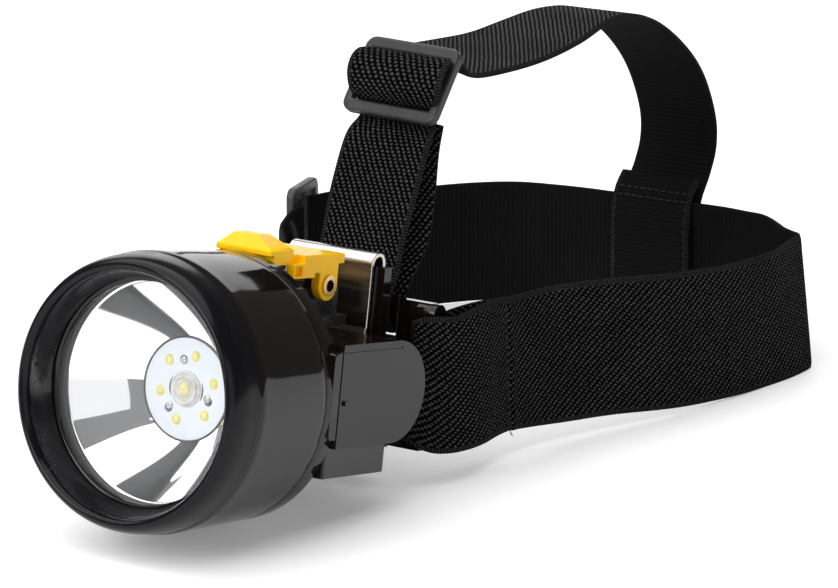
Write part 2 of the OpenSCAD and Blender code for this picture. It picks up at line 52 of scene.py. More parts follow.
# ---------------------------------------------------------------- materials
class M:
    """builds one node material"""
    def __init__(self, name, base=(0.5, 0.5, 0.5), rough=0.5, metal=0.0, **kw):
        self.m = bpy.data.materials.new(name)
        self.m.use_nodes = True
        self.t = self.m.node_tree
        self.t.nodes.clear()
        self.out = self.t.nodes.new("ShaderNodeOutputMaterial")
        self.b = self.t.nodes.new("ShaderNodeBsdfPrincipled")
        self.t.links.new(self.b.outputs[0], self.out.inputs[0])
        self.set("Base Color", (*base, 1))
        self.set("Roughness", rough)
        self.set("Metallic", metal)
        for k, v in kw.items():
            self.set(k.replace("_", " "), v)
        self.m.diffuse_color = (*base, 1)
    def set(self, sock, v):
        self.b.inputs[sock].default_value = v
        return self
    def n(self, kind, **props):
        x = self.t.nodes.new(kind)
        for k, v in props.items():
            setattr(x, k, v)
        return x
    def l(self, a, b):
        self.t.links.new(a, b)
    def coord(self, kind="Object", scale=(1, 1, 1), rot=(0, 0, 0)):
        c = self.n("ShaderNodeTexCoord")
        mp = self.n("ShaderNodeMapping")
        mp.inputs["Scale"].default_value = scale
        mp.inputs["Rotation"].default_value = rot
        self.l(c.outputs[kind], mp.inputs["Vector"])
        return mp.outputs[0]
    def uv(self, name):
        u = self.n("ShaderNodeUVMap", uv_map=name)
        s = self.n("ShaderNodeSeparateXYZ")
        self.l(u.outputs[0], s.inputs[0])
        return u.outputs[0], s.outputs[0], s.outputs[1]
    def noise(self, vec, scale=100, detail=3, rough=0.5, dist=0.0):
        x = self.n("ShaderNodeTexNoise")
        x.inputs["Scale"].default_value = scale
        x.inputs["Detail"].default_value = detail
        x.inputs["Roughness"].default_value = rough
        x.inputs["Distortion"].default_value = dist
        self.l(vec, x.inputs["Vector"])
        return x.outputs[0]
    def maprange(self, v, a, b, c, d, clamp=True):
        x = self.n("ShaderNodeMapRange")
        x.clamp = clamp
        for k, val in zip((1, 2, 3, 4), (a, b, c, d)):
            x.inputs[k].default_value = val
        self.l(v, x.inputs[0])
        return x.outputs[0]
    def math(self, op, a, b=None, c=None, clamp=False):
        x = self.n("ShaderNodeMath", operation=op)
        x.use_clamp = clamp
        for i, v in enumerate((a, b, c)):
            if v is None:
                continue
            if isinstance(v, (int, float)):
                x.inputs[i].default_value = v
            else:
                self.l(v, x.inputs[i])
        return x.outputs[0]
    def mixc(self, fac, a, b, mode='MIX'):
        x = self.n("ShaderNodeMix", data_type='RGBA', blend_type=mode)
        if isinstance(fac, (int, float)):
            x.inputs[0].default_value = fac
        else:
            self.l(fac, x.inputs[0])
        for i, v in ((6, a), (7, b)):
            if isinstance(v, (tuple, list)):
                x.inputs[i].default_value = (*v, 1) if len(v) == 3 else v
            else:
                self.l(v, x.inputs[i])
        return x.outputs[2]
    def bump(self, h, strength=0.3, dist=0.0002, chain=None):
        x = self.n("ShaderNodeBump")
        x.inputs["Strength"].default_value = strength
        x.inputs["Distance"].default_value = dist
        self.l(h, x.inputs["Height"])
        if chain is not None:
            self.l(chain, x.inputs["Normal"])
        self.l(x.outputs[0], self.b.inputs["Normal"])
        return x.outputs[0]

def assign(obj, *mats):
    obj.data.materials.clear()
    for mt in mats:
        obj.data.materials.append(mt)

def mat_gloss_black(name, base, r0, r1, scratch, ior=0.5, spot=(0.05, 0.05, 0.053)):
    k = M(name, base, r0, Specular_IOR_Level=ior)
    v = k.coord()
    a = k.noise(k.coord(scale=(18, 900, 160), rot=(0.5, 0.2, 0.9)), 1.0, 4, 0.6, 0.4)
    b = k.noise(k.coord(scale=(700, 40, 90), rot=(0.2, 0.9, 0.3)), 1.0, 4, 0.6, 0.4)
    s = k.math('MAXIMUM', k.maprange(a, 0.64, 0.76, 0, 1), k.maprange(b, 0.66, 0.78, 0, 1))
    cloud = k.noise(v, 60, 3, 0.6)
    fine = k.noise(v, 3500, 2, 0.5)
    rough = k.math('ADD', k.maprange(cloud, 0.3, 0.75, r0, r1), k.math('MULTIPLY', s, scratch * 0.4))
    k.l(rough, k.b.inputs["Roughness"])
    col = k.mixc(k.math('MULTIPLY', s, scratch), base, spot)
    k.l(col, k.b.inputs["Base Color"])
    low = k.noise(v, 140, 2, 0.5)
    h = k.math('ADD', k.math('MULTIPLY', fine, 0.05), low)
    k.bump(h, 0.05, 0.0004)
    return k.m

def mat_plastic(name, base, rough=0.5, grain=2200, strength=0.25, var=0.25, ior=0.5):
    k = M(name, base, rough, Specular_IOR_Level=ior)
    v = k.coord()
    g = k.noise(v, grain, 3, 0.6)
    c = k.noise(v, 90, 3, 0.6)
    k.l(k.mixc(k.maprange(c, 0.3, 0.7, 0, 1), [x * (1 - var) for x in base], [min(1, x * (1 + var)) for x in base]), k.b.inputs["Base Color"])
    k.l(k.math('ADD', k.maprange(c, 0.3, 0.7, rough - 0.05, rough + 0.05), k.maprange(g, 0.3, 0.7, -0.04, 0.04)), k.b.inputs["Roughness"])
    k.bump(g, strength, 0.00012)
    return k.m

def mat_metal(name, base, rough, scale=(1, 1, 1), amt=0.1, metal=1.0, strength=0.1, var=0.86):
    k = M(name, base, rough, metal)
    g = k.noise(k.coord(scale=scale), 1, 4, 0.65)
    c = k.noise(k.coord(), 70, 3, 0.6)
    k.l(k.math('ADD', k.maprange(g, 0.3, 0.7, max(0.01, rough - amt * 0.5), rough + amt), k.maprange(c, 0.3, 0.7, 0.0, 0.03)), k.b.inputs["Roughness"])
    k.l(k.mixc(k.maprange(c, 0.35, 0.7, 0, 1), base, [x * var for x in base]), k.b.inputs["Base Color"])
    k.bump(g, strength, 0.00005)
    return k.m

MAT = {}
MAT["gloss"] = mat_gloss_black("gloss_black", (0.0056, 0.0038, 0.0030), 0.045, 0.085, 0.06, 0.34)
MAT["bezel"] = mat_gloss_black("gloss_black_bezel", (0.0036, 0.0038, 0.0050), 0.13, 0.24, 0.42, 0.19, (0.035, 0.037, 0.042))
MAT["satin_black"] = mat_plastic("satin_black", (0.007, 0.007, 0.0075), 0.30, 1500, 0.12)
MAT["base_black"] = mat_gloss_black("base_black", (0.0055, 0.005, 0.0055), 0.16, 0.26, 0.15, 0.45)
MAT["grey"] = mat_plastic("buckle_grey", (0.021, 0.021, 0.0225), 0.40, 1500, 0.5, 0.4, 0.45)
MAT["rubber"] = mat_plastic("rubber", (0.012, 0.012, 0.012), 0.7, 900, 0.2)
MAT["board"] = mat_plastic("board_white", (0.84, 0.89, 0.96), 0.34, 900, 0.05, 0.03)
MAT["led_clear"] = mat_plastic("led_clear", (0.86, 0.85, 0.78), 0.10, 300, 0.02, 0.02)
MAT["led_core"] = mat_plastic("led_core", (0.92, 0.78, 0.22), 0.3, 300, 0.02, 0.05)
MAT["led_yellow"] = mat_plastic("led_yellow", (0.90, 0.86, 0.42), 0.3, 300, 0.02, 0.05)
MAT["green"] = mat_plastic("green_board", (0.03, 0.16, 0.06), 0.4, 600, 0.1)
MAT["wire"] = mat_plastic("wire_red", (0.45, 0.03, 0.02), 0.4, 600, 0.1)
MAT["cell"] = mat_plastic("cell_sleeve", (0.05, 0.16, 0.40), 0.3, 600, 0.1)
MAT["chrome"] = mat_metal("chrome_bowl", (0.95, 0.95, 0.96), 0.03, (60, 60, 60), 0.02, 1.0, 0.02, 0.96)
MAT["steel"] = mat_metal("clip_steel", (0.62, 0.59, 0.55), 0.20, (30, 900, 1400), 0.08, 1.0, 0.10)
MAT["plated"] = mat_metal("plated_steel", (0.72, 0.71, 0.69), 0.2, (900, 900, 900), 0.1)
MAT["alu"] = mat_metal("aluminium", (0.72, 0.73, 0.74), 0.32, (900, 900, 900), 0.1)
MAT["brass"] = mat_metal("brass", (0.74, 0.50, 0.22), 0.16, (600, 600, 600), 0.08)

def mat_yellow():
    k = M("yellow_plastic", (0.97, 0.52, 0.004), 0.24, Specular_IOR_Level=0.16)
    v = k.coord()
    c = k.noise(v, 120, 3, 0.6)
    k.l(k.mixc(k.maprange(c, 0.3, 0.7, 0, 1), (1.0, 0.50, 0.002), (1.0, 0.60, 0.004)), k.b.inputs["Base Color"])
    k.l(k.maprange(c, 0.3, 0.7, 0.18, 0.3), k.b.inputs["Roughness"])
    k.bump(k.noise(v, 900, 2, 0.5), 0.04, 0.0001)
    return k.m
MAT["yellow"] = mat_yellow()

def mat_lens():
    k = M("clear_lens", (0.97, 0.985, 1.0), 0.03, Alpha=0.05, Specular_IOR_Level=0.6)
    g = k.noise(k.coord(), 50, 3, 0.6)
    k.l(k.maprange(g, 0.3, 0.7, 0.02, 0.05), k.b.inputs["Roughness"])
    return k.m
MAT["lens"] = mat_lens()

def mat_weave(name, dark, light, a, b, rough=0.85, ribs=None, bump=0.9, contrast=(0.0, 1.0), blotch=0.35, grain=0.45):
    """elastic webbing: a and b are the (along, across) repeat steps of the weave, in millimetres"""
    k = M(name, light, rough, Specular_IOR_Level=0.02)
    vec, u, v = k.uv("strap")
    wob = k.noise(vec, 0.30, 3, 0.6)
    wob2 = k.noise(vec, 0.21, 3, 0.5)
    u2 = k.math('ADD', u, k.math('MULTIPLY', wob, 0.7))
    v2 = k.math('ADD', v, k.math('MULTIPLY', wob2, 0.9))
    def wave(g):
        s = k.math('ADD', k.math('MULTIPLY', v2, 2 * math.pi * g[0]), k.math('MULTIPLY', u2, 2 * math.pi * g[1]))
        return k.math('COSINE', s)
    if ribs:
        h = k.math('ADD', k.math('MULTIPLY', wave(a if ribs[1] is None else (1 / ribs[0], 0)), 0.8), k.math('MULTIPLY', wave((0.9, -0.35) if ribs[1] is None else (0, 1 / ribs[1])), 0.25))
    else:
        det = a[0] * b[1] - a[1] * b[0]
        g1 = (b[1] / det, -b[0] / det)
        g2 = (-a[1] / det, a[0] / det)
        g3 = (g1[0] - g2[0], g1[1] - g2[1])
        h = k.math('ADD', k.math('MULTIPLY', wave(g1), 0.58), k.math('ADD', k.math('MULTIPLY', wave(g2), 0.34), k.math('MULTIPLY', wave(g3), 0.26)))
    fibre = k.noise(vec, 6.0, 3, 0.7)
    speck = k.noise(vec, 1.1, 2, 0.6)
    big = k.noise(vec, 0.07, 3, 0.6)
    h2 = k.math('ADD', h, k.maprange(fibre, 0.3, 0.7, -grain * 0.6, grain * 0.6))
    h3 = k.math('ADD', h2, k.maprange(speck, 0.3, 0.7, -grain, grain))
    f = k.maprange(h3, contrast[0], contrast[1], 0, 1)
    col = k.mixc(f, dark, light)
    col = k.mixc(k.maprange(big, 0.35, 0.65, 0, blotch), col, dark)
    k.l(col, k.b.inputs["Base Color"])
    k.l(k.maprange(fibre, 0.3, 0.7, rough - 0.12, min(1, rough + 0.1)), k.b.inputs["Roughness"])
    k.bump(h2, bump, 0.00022)
    return k.m
WEB = mat_weave("webbing_outer", (0.0008, 0.0008, 0.0009), (0.070, 0.0675, 0.071), (1.526, -0.6), (-0.747, -0.625), contrast=(-0.05, 0.85), blotch=0.25)
WEB_TOP = mat_weave("webbing_outer_top", (0.0008, 0.0008, 0.0009), (0.076, 0.0735, 0.0765), (0.1, 1.55), (0.95, -0.56), contrast=(-0.05, 0.85), blotch=0.25)
WEB_RIB = mat_weave("webbing_ribbed", (0.005, 0.005, 0.0052), (0.084, 0.083, 0.086), (0.4255, 0.672), (0, 1), ribs=(1.05, None), contrast=(-0.35, 0.8), grain=0.2)
WEB_IN = mat_weave("webbing_inner", (0.0055, 0.0053, 0.0055), (0.0095, 0.0090, 0.0094), (1, 0), (0, 1), ribs=(1.3, 0.8), bump=0.22, contrast=(-0.9, 0.9))
WEB_EDGE = mat_weave("webbing_selvedge", (0.006, 0.006, 0.0063), (0.036, 0.036, 0.037), (1, 0), (0, 1), ribs=(0.8, 0.8), contrast=(-0.6, 0.8))
def mat_thread():
    k = M("thread_black", (0.02, 0.02, 0.022), 0.7)
    g = k.noise(k.coord(), 4000, 2, 0.5)
    k.l(k.mixc(k.maprange(g, 0.3, 0.7, 0, 1), (0.005, 0.005, 0.0055), (0.014, 0.014, 0.015)), k.b.inputs["Base Color"])
    k.bump(g, 0.4, 0.0001)
    return k.m
MAT["thread"] = mat_thread()

LOOK = {
    "front_shell": "gloss", "lens_retainer": "gloss", "lens": "lens", "lens_gasket": "rubber", "reflector": "chrome",
    "led_board": "board", "main_led": "led_clear", "aux_leds": "led_yellow", "board_screws": "plated", "heat_sink": "alu",
    "driver_board": "green", "lead_wires": "wire", "rear_housing": "gloss", "battery_cell": "cell", "contact_plates": "plated",
    "contact_springs": "plated", "end_cap_right": "gloss", "end_cap_left": "gloss", "charge_base": "base_black",
    "base_screws": "plated", "lever_bracket": "satin_black", "tact_switch": "satin_black", "switch_plunger": "satin_black",
    "switch_lever": "yellow", "pivot_rivet": "brass", "helmet_clip": "steel", "clip_rivets": "plated",
    "hanger_plate": "gloss", "head_strap": "rubber", "side_buckle": "grey", "top_strap": "rubber", "top_buckle": "grey",
}
for node, look in LOOK.items():
    assign(N[node], MAT[look])

def soften(node, width, seg=2, angle=32):
    """rounds a CAD node's edges with modifiers only"""
    o = N[node]
    w = o.modifiers.new("weld", 'WELD')
    w.merge_threshold = 0.00002
    b = o.modifiers.new("bevel", 'BEVEL')
    b.width = width
    b.segments = seg
    b.limit_method = 'ANGLE'
    b.angle_limit = math.radians(angle)
    b.harden_normals = False
    b.use_clamp_overlap = True
for node, w in (("switch_lever", 0.0006), ("hanger_plate", 0.0004), ("side_buckle", 0.0006), ("top_buckle", 0.0006), ("end_cap_right", 0.0002),
                ("end_cap_left", 0.0002), ("charge_base", 0.0005), ("lever_bracket", 0.0003), ("helmet_clip", 0.00025)):
    soften(node, w)

# ---------------------------------------------------------------- mesh helpers
TILT = math.radians(9.6)
CT, ST = math.cos(TILT), math.sin(TILT)
OX, OY, OZ = 20.3, -120.8, 37.4
def L2R(x, y, z):
    return ((x + OX) * MM, (y * CT + z * ST + OY) * MM, (-y * ST + z * CT + OZ) * MM)
def W2R(x, y, z):
    return ((x + OX) * MM, (y + OY) * MM, (z + OZ) * MM)

def new_obj(name, verts, faces, mats, smooth=True, face_mat=None, uvs=None, uvname="strap"):
    me = bpy.data.meshes.new(name)
    me.from_pydata(verts, [], faces)
    for mt in mats:
        me.materials.append(mt)
    for i, p in enumerate(me.polygons):
        p.use_smooth = smooth
        if face_mat:
            p.material_index = face_mat[i]
    if uvs:
        lay = me.uv_layers.new(name=uvname)
        for i, p in enumerate(me.polygons):
            for k, li in enumerate(p.loop_indices):
                lay.data[li].uv = uvs[i][k]
    me.update()
    o = bpy.data.objects.new(name, me)
    bpy.context.scene.collection.objects.link(o)
    return o

def catmull_profile(p, n=4):
    """returns the profile polyline unchanged, without adding points"""
    return p

def revolve(name, profile, mats, seg=192, closed=True, place=L2R, face_mat=None, smooth=True):
    """profile of (radius, y) turned about the lens axis, in lamp millimetres"""
    verts, faces, fm = [], [], []
    m = len(profile)
    for k in range(seg):
        a = 2 * math.pi * k / seg
        c, s = math.cos(a), math.sin(a)
        for r, y in profile:
            verts.append(place(r * c, y, r * s))
    rng = m if closed else m - 1
    for k in range(seg):
        k2 = (k + 1) % seg
        for i in range(rng):
            j = (i + 1) % m
            faces.append((k * m + i, k * m + j, k2 * m + j, k2 * m + i))
            fm.append(face_mat[i] if face_mat else 0)
    o = new_obj(name, verts, faces, mats, smooth, fm)
    bm = bmesh.new()
    bm.from_mesh(o.data)
    bmesh.ops.recalc_face_normals(bm, faces=bm.faces)
    bm.to_mesh(o.data)
    bm.free()
    return o

def sharp(o, deg=35):
    o.data.set_sharp_from_angle(angle=math.radians(deg))

def arc_pts(cx, cy, r, a0, a1, n):
    return [(cx + r * math.cos(math.radians(a0 + (a1 - a0) * k / n)), cy + r * math.sin(math.radians(a0 + (a1 - a0) * k / n))) for k in range(n + 1)]

# ---------------------------------------------------------------- lamp head, turned fine
def fine(p, n=4):
    """Catmull-Rom through open profile points"""
    out = []
    for i in range(len(p) - 1):
        a, b, c, d = p[max(i - 1, 0)], p[i], p[i + 1], p[min(i + 2, len(p) - 1)]
        for k in range(n):
            t = k / n
            out.append(tuple(0.5 * (2 * b[j] + (c[j] - a[j]) * t + (2 * a[j] - 5 * b[j] + 4 * c[j] - d[j]) * t * t + (3 * b[j] - a[j] - 3 * c[j] + d[j]) * t ** 3) for j in (0, 1)))
    out.append(p[-1])
    return out
outer = fine([(32.75, 23.35), (32.95, 23.1), (33.1, 21.5), (33.35, 14), (33.55, 8), (33.72, 1), (33.84, -1.8), (33.74, -2.9), (33.46, -3.9), (33.33, -6), (33.15, -8.4), (32.75, -10.4), (32.15, -12), (31.4, -12.9), (30.65, -13.15), (29.95, -12.85), (29.35, -12), (28.8, -10.4), (28.15, -7.6), (27.75, -6.1), (27.5, -5.5), (27.45, -5.1), (27.65, -4.7)], 3)
prof = outer + [(29.3, -4.7), (29.5, -4.5), (29.5, 23.2), (29.6, 23.35)]
zone = []
for i in range(len(prof)):
    zone.append(1 if 3 * 8 - 1 < i < 3 * 22 + 1 else 0)
shell = revolve("front_shell_fine", prof, [MAT["gloss"], MAT["bezel"]], 224, face_mat=zone)
sharp(shell, 50)
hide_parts("front_shell"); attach(shell, "lamp")

ret = revolve("lens_retainer_fine", [(29.2, -3.25), (29.2, -4.55)] + fine([(27.3, -4.6), (26.9, -4.5), (26.65, -4.2), (26.55, -3.8), (26.6, -3.25)], 3), [MAT["gloss"]], 192)
sharp(ret, 40)
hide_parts("lens_retainer"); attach(ret, "lamp")

RIM, OPEN, DEPTH = 26.4, 12.6, 11.9
def bowl(t, off=0.0):
    y = DEPTH * t
    r = math.sqrt(RIM * RIM - (RIM * RIM - OPEN * OPEN) * t)
    return (r + off, y)
inner = [bowl(t / 40) for t in range(41)]
bowl_prof = [(29.1, 1.15), (29.1, -0.05), (26.9, -0.1)] + [(26.6, -0.06)] + inner + [(13.7, 12.0)] + [bowl(t / 20, 1.15) for t in range(19, 1, -1)] + [(27.9, 1.2)]
refl = revolve("reflector_fine", bowl_prof, [MAT["chrome"]], 256)
sharp(refl, 40)
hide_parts("reflector"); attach(refl, "lamp")

# dark seam where the light board meets the bowl, and the two thin slits beside the middle LED
seam = revolve("board_seam", [(12.55, 11.55), (12.62, 11.62), (12.5, 11.95), (12.3, 11.98), (12.3, 11.9)], [MAT["satin_black"]], 160)
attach(seam, "lamp")
def arc_strip(name, r, w, a0, a1, y, h, mat, seg=24):
    verts, faces = [], []
    for k in range(seg + 1):
        a = math.radians(a0 + (a1 - a0) * k / seg)
        tp = min(1, 3 * min(k, seg - k) / seg + 0.15)
        for rr, yy in ((r - w * tp / 2, y), (r + w * tp / 2, y), (r + w * tp / 2, y + h), (r - w * tp / 2, y + h)):
            verts.append(L2R(rr * math.cos(a), yy, rr * math.sin(a)))
    for k in range(seg):
        for i in range(4):
            j = (i + 1) % 4
            faces.append((4 * k + i, 4 * k + j, 4 * k + 4 + j, 4 * k + 4 + i))
    faces += [(3, 2, 1, 0), (4 * seg, 4 * seg + 1, 4 * seg + 2, 4 * seg + 3)]
    return new_obj(name, verts, faces, [mat], smooth=False)
for i, (a0, a1) in enumerate(((150, 205), (-28, 25))):
    o = arc_strip("board_slit_%d" % (i + 1), 4.9, 0.35, a0, a1, 11.93, 0.06, MAT["satin_black"])
    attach(o, "lamp")

# short web that closes the step between the rear flange and each end cap
def cap_web(name, sgn):
    pts = [(29.35, 13.0), (27.2, 12.9), (26.1, 12.2), (25.9, 11.0), (25.9, -6.6), (26.2, -7.8), (27.2, -8.5), (29.35, -8.7)]
    xs = (29.6, 32.55, 32.8)
    ins = (0.0, 0.0, 0.25)
    cy = sum(q[0] for q in pts) / len(pts); cz = sum(q[1] for q in pts) / len(pts)
    verts, faces = [], []
    m = len(pts)
    for x, e in zip(xs, ins):
        for y, z in pts:
            dy, dz = (y - cy), (z - cz)
            L = math.hypot(dy, dz)
            verts.append(L2R(sgn * x, y - (dy / L * e if y < 29 else 0), z - dz / L * e))
    for k in range(2):
        for i in range(m):
            j = (i + 1) % m
            faces.append((k * m + i, k * m + j, (k + 1) * m + j, (k + 1) * m + i))
    faces.append(tuple(range(m)))
    faces.append(tuple(2 * m + i for i in reversed(range(m))))
    o = new_obj(name, verts, faces, [MAT["gloss"]], True)
    bm = bmesh.new(); bm.from_mesh(o.data)
    bmesh.ops.recalc_face_normals(bm, faces=bm.faces)
    bm.to_mesh(o.data); bm.free()
    sharp(o, 40)
    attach(o, "lamp")
cap_web("cap_web_right", 1)
cap_web("cap_web_left", -1)

# round light chips, screws and the middle LED
def many(name, profile, centres, mats, seg=32, face_mat=None):
    verts, faces, fm = [], [], []
    m = len(profile)
    for cx, cz in centres:
        o0 = len(verts)
        for k in range(seg):
            an = 2 * math.pi * k / seg
            for r, y in profile:
                verts.append(L2R(cx + r * math.cos(an), y, cz + r * math.sin(an)))
        for k in range(seg):
            k2 = (k + 1) % seg
            for i in range(m):
                j = (i + 1) % m
                faces.append((o0 + k * m + i, o0 + k * m + j, o0 + k2 * m + j, o0 + k2 * m + i))
                fm.append(face_mat[i] if face_mat else 0)
    o = new_obj(name, verts, faces, mats, True, fm)
    bm = bmesh.new(); bm.from_mesh(o.data)
    bmesh.ops.recalc_face_normals(bm, faces=bm.faces)
    bm.to_mesh(o.data); bm.free()
    sharp(o, 40)
    return o
def dome_prof(r, h, y, n=10, foot=0.0):
    return [(0.0001, y - h)] + [(r * math.sin(math.pi / 2 * k / n), y - h * math.cos(math.pi / 2 * k / n)) for k in range(1, n + 1)] + ([(foot, y), (foot, y + 0.12)] if foot else [(r, y + 0.1)]) + [(0.0001, y + 0.1)]
def mat_chip():
    k = M("led_yellow_soft", (0.90, 0.87, 0.42), 0.22, Specular_IOR_Level=0.5)
    g = k.noise(k.coord(), 900, 2, 0.5)
    k.l(k.mixc(k.maprange(g, 0.3, 0.7, 0, 1), (0.92, 0.90, 0.42), (0.86, 0.76, 0.14)), k.b.inputs["Base Color"])
    k.set("Subsurface Weight", 0.2)
    k.set("Subsurface Radius", (0.001, 0.001, 0.0006))
    k.bump(g, 0.05, 0.0001)
    return k.m
AUX = ((-5.7, 6.3), (2.0, 8.2), (8.0, 2.4), (-7.7, -1.5), (-2.2, -7.7), (6.1, -5.6))
chips = many("aux_leds_fine", dome_prof(1.15, 0.62, 11.9, 10, 1.35), AUX, [mat_chip()], 36)
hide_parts("aux_leds"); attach(chips, "lamp")
heads = many("board_screws_fine", [(0.0001, 11.55), (0.42, 11.55), (0.46, 11.62), (0.62, 11.50), (0.85, 11.58), (0.98, 11.74), (1.0, 11.95), (0.0001, 11.95)], ((-1.5, 6.9), (6.5, -1.5), (-4.5, -4.5)), [MAT["plated"]], 36)
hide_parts("board_screws"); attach(heads, "lamp")
def mat_ring():
    k = M("led_ring", (0.72, 0.72, 0.68), 0.16, Specular_IOR_Level=0.6)
    g = k.noise(k.coord(), 500, 3, 0.6)
    k.l(k.mixc(k.maprange(g, 0.35, 0.65, 0, 1), (0.80, 0.80, 0.78), (0.56, 0.55, 0.52)), k.b.inputs["Base Color"])
    k.bump(g, 0.1, 0.0001)
    return k.m
ring = revolve("main_led_base", [(0.0001, 11.2), (2.7, 11.2), (2.85, 10.95), (3.2, 10.75), (3.6, 10.85), (3.75, 11.1), (3.8, 11.4), (4.15, 11.5), (4.35, 11.7), (4.4, 11.95), (0.0001, 11.95)], [mat_ring()], 96)
sharp(ring, 45)
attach(ring, "lamp")
core = revolve("main_led_core", [(0.0001, 10.55), (0.9, 10.62), (1.5, 10.85), (1.75, 11.15), (1.75, 11.21), (0.0001, 11.21)], [mat_chip()], 64)
sharp(core, 50)
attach(core, "lamp")
def mat_dome():
    k = M("led_dome", (0.95, 0.95, 0.9), 0.04, Alpha=0.22, Specular_IOR_Level=0.8)
    k.l(k.maprange(k.noise(k.coord(), 300, 2, 0.5), 0.3, 0.7, 0.02, 0.07), k.b.inputs["Roughness"])
    return k.m
dm = revolve("main_led_dome", dome_prof(2.75, 2.1, 11.15, 16), [mat_dome()], 96)
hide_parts("main_led"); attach(dm, "lamp")

# ---------------------------------------------------------------- webbing
HEAD_ROUTE = [
  [27.3, 104.5, -12.6, 0.02, 0.03, 0.93], [25.3, 97.5, -12.2, 0.02, 0.03, 0.93], [23, 88.5, -11.8, 0, 0.05, 0.87], [21.2, 81.5, -11.5, 0, 0.08, 0.78],
  [20.7, 77, -11.3, 0, 0.1, 0.72], [21.4, 74.2, -11.3, 0, 0.1, 0.72], [23.6, 73.0, -11.5, 0, 0.1, 0.74], [25.9, 73.6, -11.8, 0, 0.08, 0.82],
  [28.5, 76.0, -11.9, 0, 0.06, 0.91], [31.0, 80, -11.8, 0, 0.04, 0.95], [32.4, 85.5, -11.4, 0, 0.02, 0.98], [32.2, 92, -11.4, 0, 0, 0.99],
  [30.8, 99.5, -11.8, 0, 0, 0.98], [29.8, 106.5, -12.6, 0, 0, 0.96], [30, 114, -13.3, 0, 0, 0.97], [31.8, 127.3, -14.3, 0, 0, 1],
  [37.6, 145.9, -15.5, 0, 0, 1], [43.5, 164.7, -17.3, 0, 0, 1], [47.8, 187, -18.7, 0, 0, 1], [49.3, 206.4, -19.1, -0.05, 0, 1],
  [48.3, 219.6, -19.1, -0.12, 0, 1], [47.1, 226, -19.1, -0.12, 0, 1], [43.3, 228.6, -19.1, -0.12, 0, 1], [38.6, 231, -19.1, -0.07, 0, 1],
  [33, 235.5, -19, 0, 0, 0.97], [25, 241.5, -19, 0, 0, 0.97], [16.5, 245.4, -18.9, 0, 0, 0.92], [7, 246.2, -18.9, 0, 0, 0.92],
  [-13, 245.4, -18.9, 0, 0, 0.92], [-32.7, 244.2, -18.9, 0, 0, 0.92], [-44.8, 242.5, -18.9, 0, 0, 0.92], [-55.6, 239, -19.4, 0, 0, 0.95],
  [-64.4, 232, -19.4, 0, 0, 0.95], [-73, 220, -19.4, 0, 0, 0.95], [-80.6, 206.5, -19.4, 0, 0, 0.95], [-85.6, 195, -17.8, 0, 0, 0.97],
  [-87.1, 186.8, -16.6, 0, 0, 0.93], [-86.8, 184.3, -16.4, 0, 0, 0.93], [-88.1, 181.8, -16.4, 0, 0, 0.93], [-89.5, 179.7, -16.4, 0, 0, 0.93], [-89.6, 177.2, -16.4, 0, 0, 0.93],
  [-88.3, 175.2, -16.4, 0, 0, 0.93], [-85.9, 174.2, -16.4, 0, 0, 0.93], [-83.5, 172.8, -16.4, 0, 0, 0.93], [-82.4, 170.5, -16.4, 0, 0, 0.93], [-81.4, 165.5, -16.9, 0, 0, 0.95],
  [-78.6, 158.5, -18.4, 0, 0, 1], [-74.4, 151.2, -18.4, 0, 0, 1], [-67.5, 142, -18.4, 0, 0.03, 1], [-48.5, 116, -17.2, 0, 0.08, 1],
  [-32.2, 93, -15.6, 0, 0.1, 0.92], [-26.8, 81.5, -13.2, 0, 0.1, 0.8], [-26.3, 77, -11.8, 0, 0.1, 0.74], [-25.6, 74.1, -11.4, 0, 0.1, 0.72],
  [-23.5, 73.0, -11.3, 0, 0.1, 0.72], [-21.4, 74.1, -11.3, 0, 0.1, 0.72], [-20.7, 76.6, -11.4, 0, 0.1, 0.73], [-21.9, 81.5, -12.4, 0, 0.1, 0.8],
  [-30.2, 94.8, -14.4, 0, 0.12, 0.88], [-46.6, 117.6, -15.4, 0, 0.15, 0.9], [-65.4, 143.4, -17, 0, 0.12, 0.96], [-72.4, 153, -17, 0, 0, 1]]
